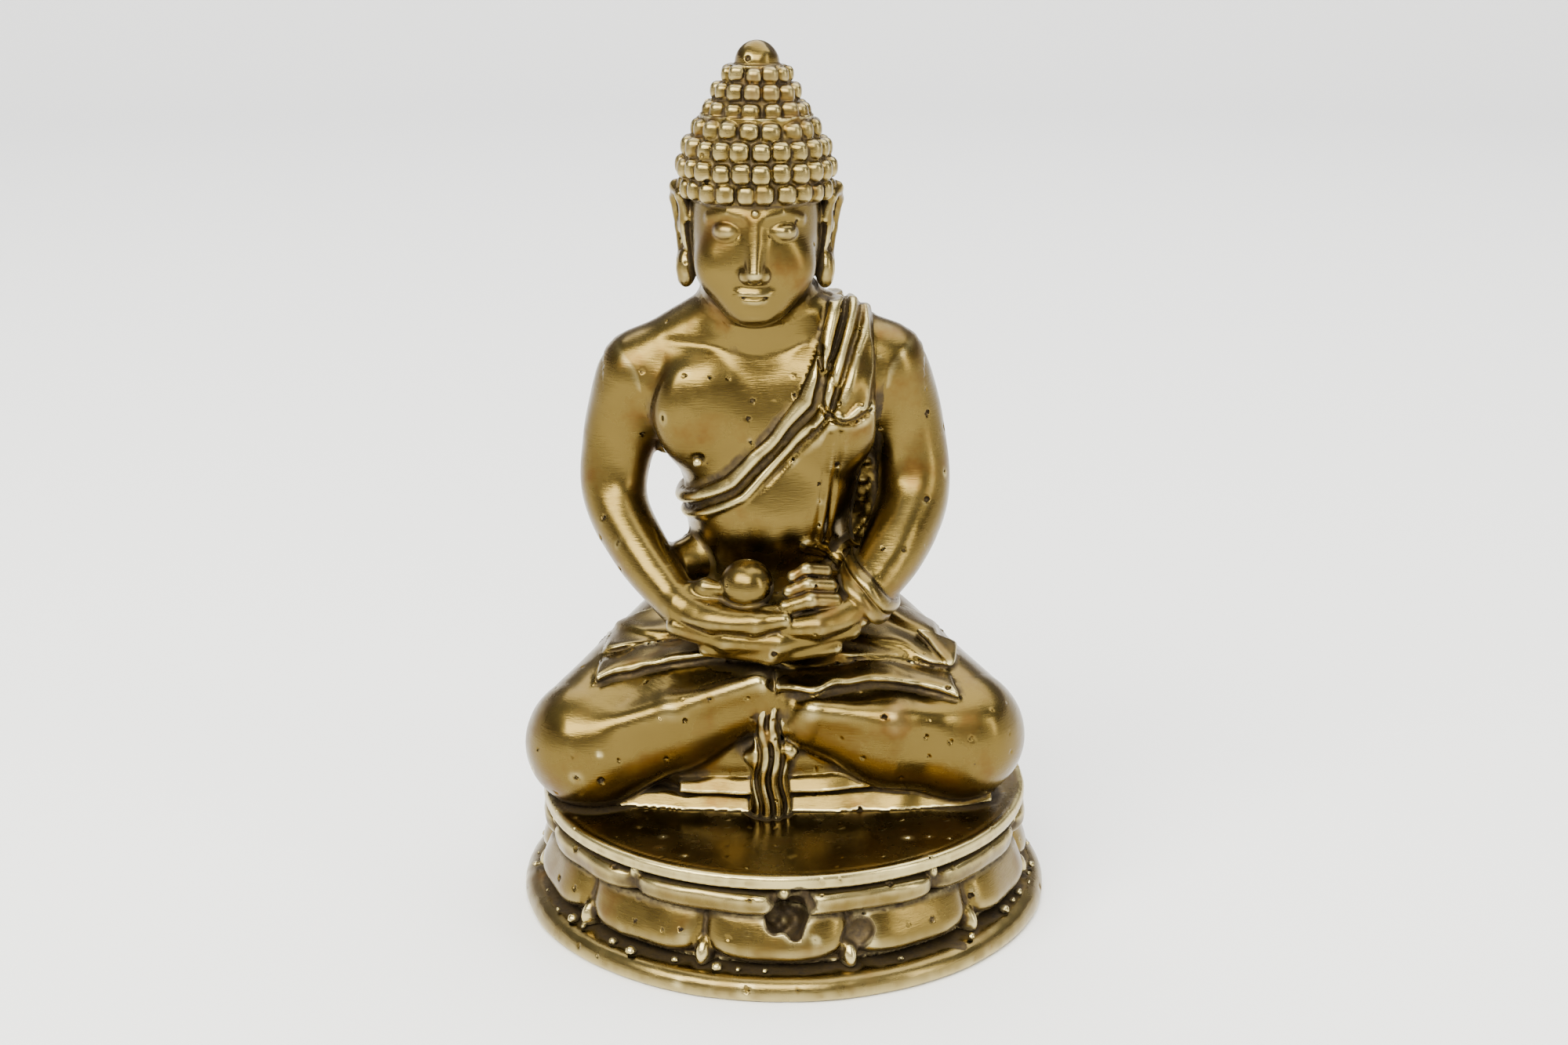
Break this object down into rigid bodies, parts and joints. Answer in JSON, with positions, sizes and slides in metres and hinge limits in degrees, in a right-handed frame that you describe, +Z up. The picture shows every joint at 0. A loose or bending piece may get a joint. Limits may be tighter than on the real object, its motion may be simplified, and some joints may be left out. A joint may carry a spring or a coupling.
{
  "type": "seated buddha statue",
  "caption": "Small cast-brass Buddha seated in meditation on a round double-lotus base, with a robe over the left shoulder and a ball held in the lap.",
  "frame": {"origin": "centre of the round base's footprint, on the surface it stands on", "axes": "+Z up, the figure faces -Y, +X towards the figure's own left"},
  "size_m": [0.066, 0.066, 0.1048],
  "materials": {
    "brass": "hand-polished cast brass with dark brown patina in the recesses, fine scratches and casting pits",
    "steel": "plain zinc-plated steel, slightly dulled"
  },
  "bodies": {
    "root": {"plinth_ring": "brass", "lower_lotus": "brass", "upper_lotus": "brass", "seat_slab": "brass", "legs": "brass", "lap_apron": "brass", "hem_fan": "brass", "torso": "brass", "robe": "brass", "right_arm": "brass", "left_arm": "brass", "right_hand": "brass", "left_hand": "brass", "jewel": "brass", "sash": "brass", "head": "brass", "hair_cap": "brass", "ushnisha": "brass", "right_ear": "brass", "left_ear": "brass", "fixing_screw": "steel", "washer": "steel"}
  },
  "joints": []
}
